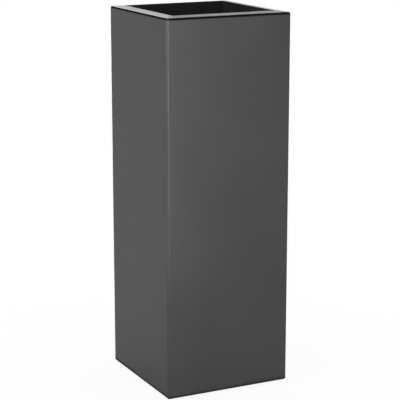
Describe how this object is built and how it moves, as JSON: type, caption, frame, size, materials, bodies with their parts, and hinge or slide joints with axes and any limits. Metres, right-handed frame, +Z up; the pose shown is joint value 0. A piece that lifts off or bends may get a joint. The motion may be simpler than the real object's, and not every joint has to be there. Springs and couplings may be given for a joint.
{
  "type": "column planter",
  "caption": "Tall square column planter of folded sheet metal with an inward rim, a lift-out planting liner with bail handles, rubber feet and a drain plug.",
  "frame": {"origin": "on the floor, under the middle of the column", "axes": "+Z up, the wide wall in the picture faces -Y and the narrow one faces -X"},
  "size_m": [0.355, 0.355, 1.005],
  "materials": {
    "charcoal_coat": "satin charcoal powder coat",
    "galvanised_sheet": "hot-dip galvanised, dull",
    "bright_steel": "zinc plated",
    "black_rubber": "matte moulded rubber"
  },
  "bodies": {
    "column": {"front_shell": "charcoal_coat", "rear_shell": "charcoal_coat", "seam_angle_left": "galvanised_sheet", "seam_angle_right": "galvanised_sheet", "floor_tray": "galvanised_sheet", "tray_rivets": "bright_steel", "foot_front_left": "black_rubber", "foot_front_right": "black_rubber", "foot_rear_left": "black_rubber", "foot_rear_right": "black_rubber", "foot_screws": "bright_steel", "foot_washers": "black_rubber", "foot_nuts": "bright_steel", "cradle_front": "galvanised_sheet", "cradle_rear": "galvanised_sheet", "cradle_left": "galvanised_sheet", "cradle_right": "galvanised_sheet"},
    "liner": {"planting_liner": "galvanised_sheet", "handle_brackets": "galvanised_sheet", "bracket_rivets": "bright_steel"},
    "right_handle": {"right_handle": "bright_steel"},
    "left_handle": {"left_handle": "bright_steel"},
    "drain_plug": {"drain_plug": "black_rubber"}
  },
  "joints": [
    {"name": "liner_lift", "type": "slide", "parent": "column", "child": "liner", "axis": [0, 0, 1], "range_m": [0, 0.66]},
    {"name": "right_handle_swing", "type": "hinge", "parent": "liner", "child": "right_handle", "pos_m": [0.132, 0, 0.928], "axis": [0, 1, 0], "range_deg": [-5, 185]},
    {"name": "left_handle_swing", "type": "hinge", "parent": "liner", "child": "left_handle", "pos_m": [-0.132, 0, 0.928], "axis": [0, -1, 0], "range_deg": [-5, 185]},
    {"name": "drain_plug_pull", "type": "slide", "parent": "column", "child": "drain_plug", "axis": [0, 0, 1], "range_m": [0, 0.05]}
  ]
}
